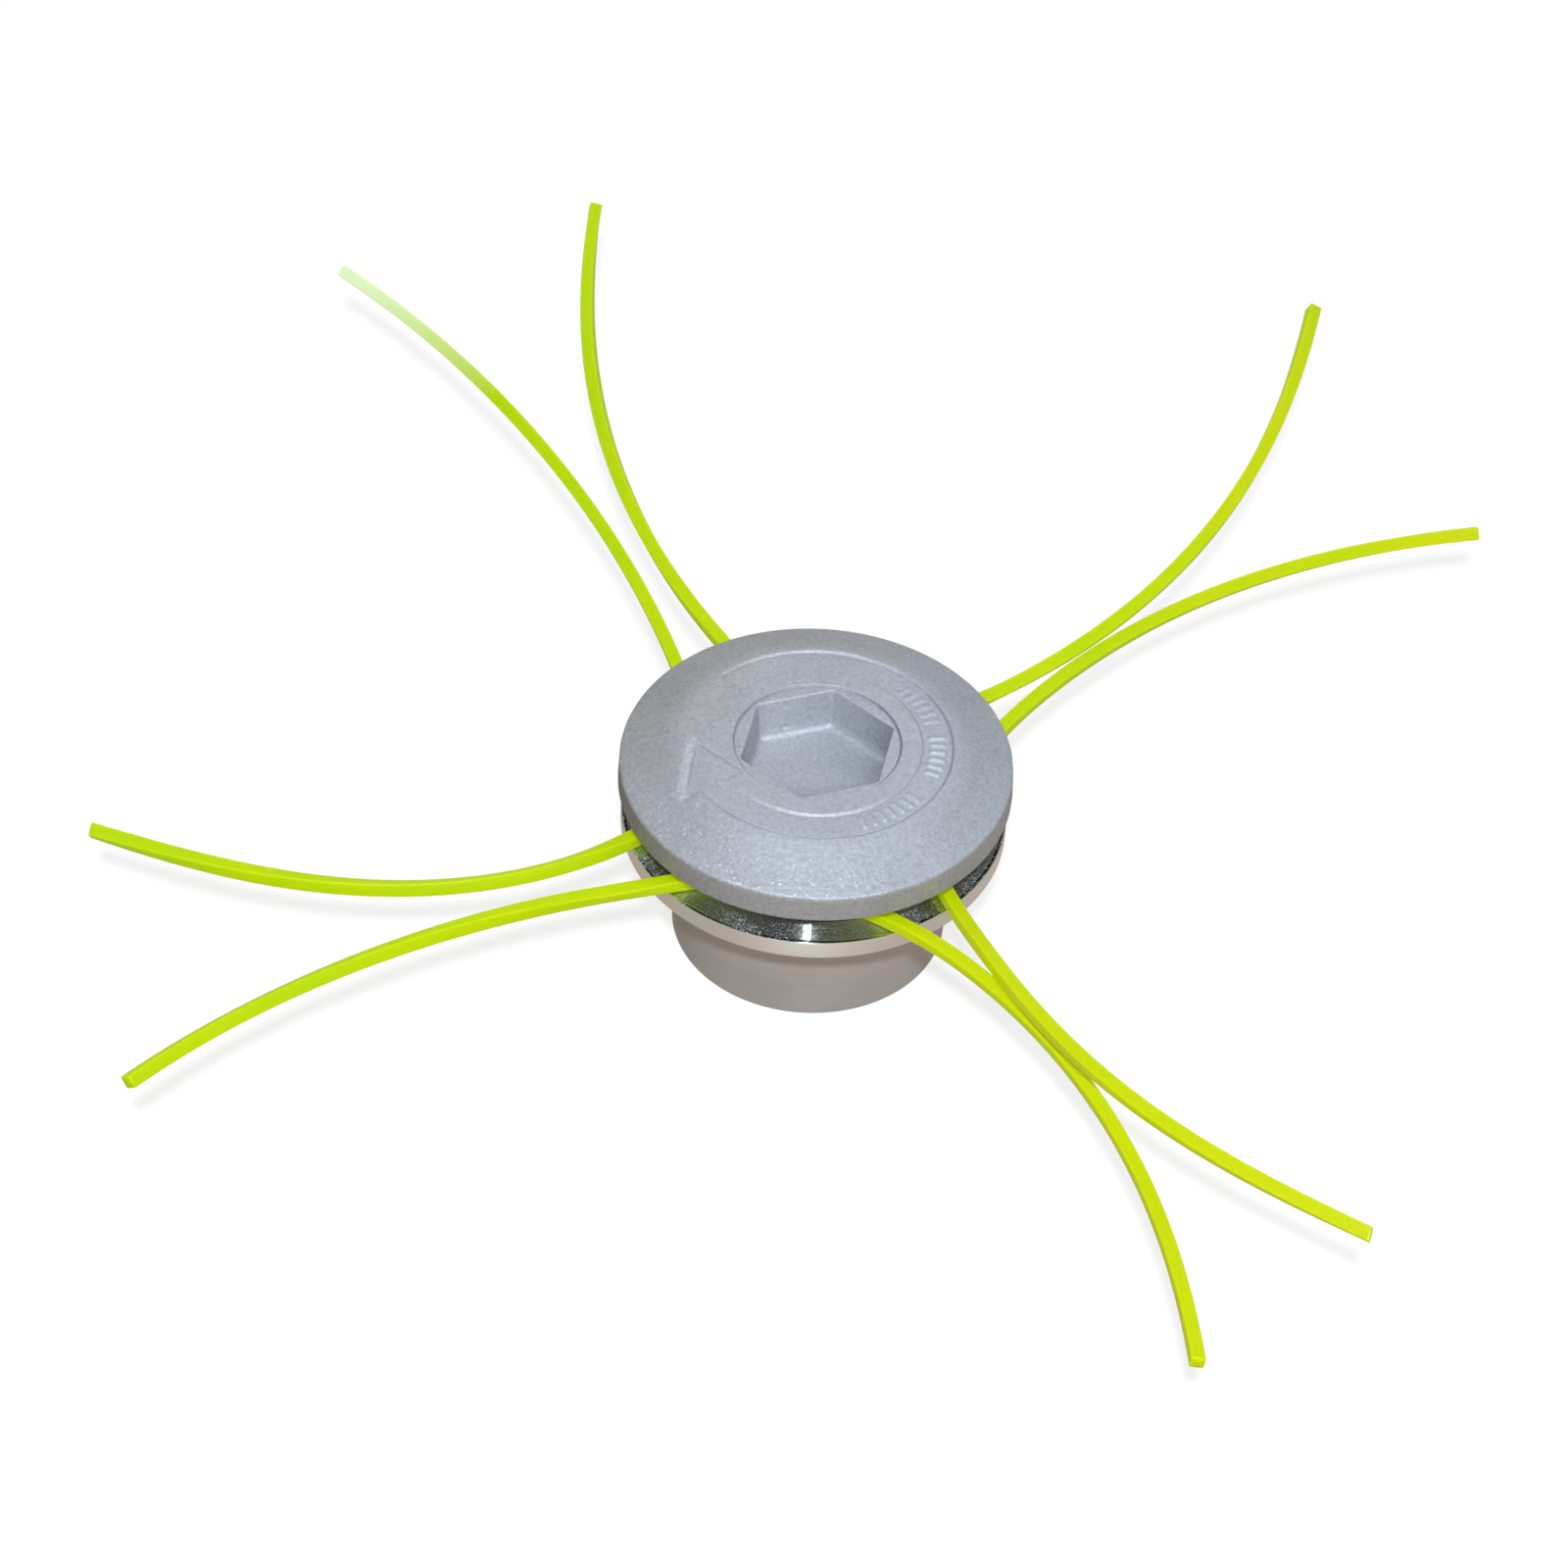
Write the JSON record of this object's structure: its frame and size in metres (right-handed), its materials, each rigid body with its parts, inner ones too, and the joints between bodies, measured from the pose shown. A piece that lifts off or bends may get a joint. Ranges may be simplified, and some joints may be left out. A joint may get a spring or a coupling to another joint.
{
  "type": "fixed line trimmer head",
  "caption": "Fixed trimmer head: a cast disc cover with a hex socket and a sunk arrow screws into a turned cup base, with folded square nylon lines held in the gap between them.",
  "frame": {"origin": "on the head's turning axis, in the plane of the cup's rim, which is the face the head stands on", "axes": "+Z along the turning axis from the cup's open end to the hex socket; the trimmer's spindle enters along +Z from below; +X to the picture's right and -Y toward the picture's camera"},
  "size_m": [0.2858, 0.3252, 0.0496],
  "materials": {
    "cast_aluminium": "as cast, blasted",
    "machined_aluminium": "turned",
    "steel": "plain",
    "nylon_line": "fluorescent yellow-green, slightly translucent"
  },
  "bodies": {
    "root": {"cover": "cast_aluminium", "base": "machined_aluminium", "insert": "steel", "line_right": "nylon_line", "line_back": "nylon_line", "line_left": "nylon_line", "line_front": "nylon_line"}
  },
  "joints": []
}
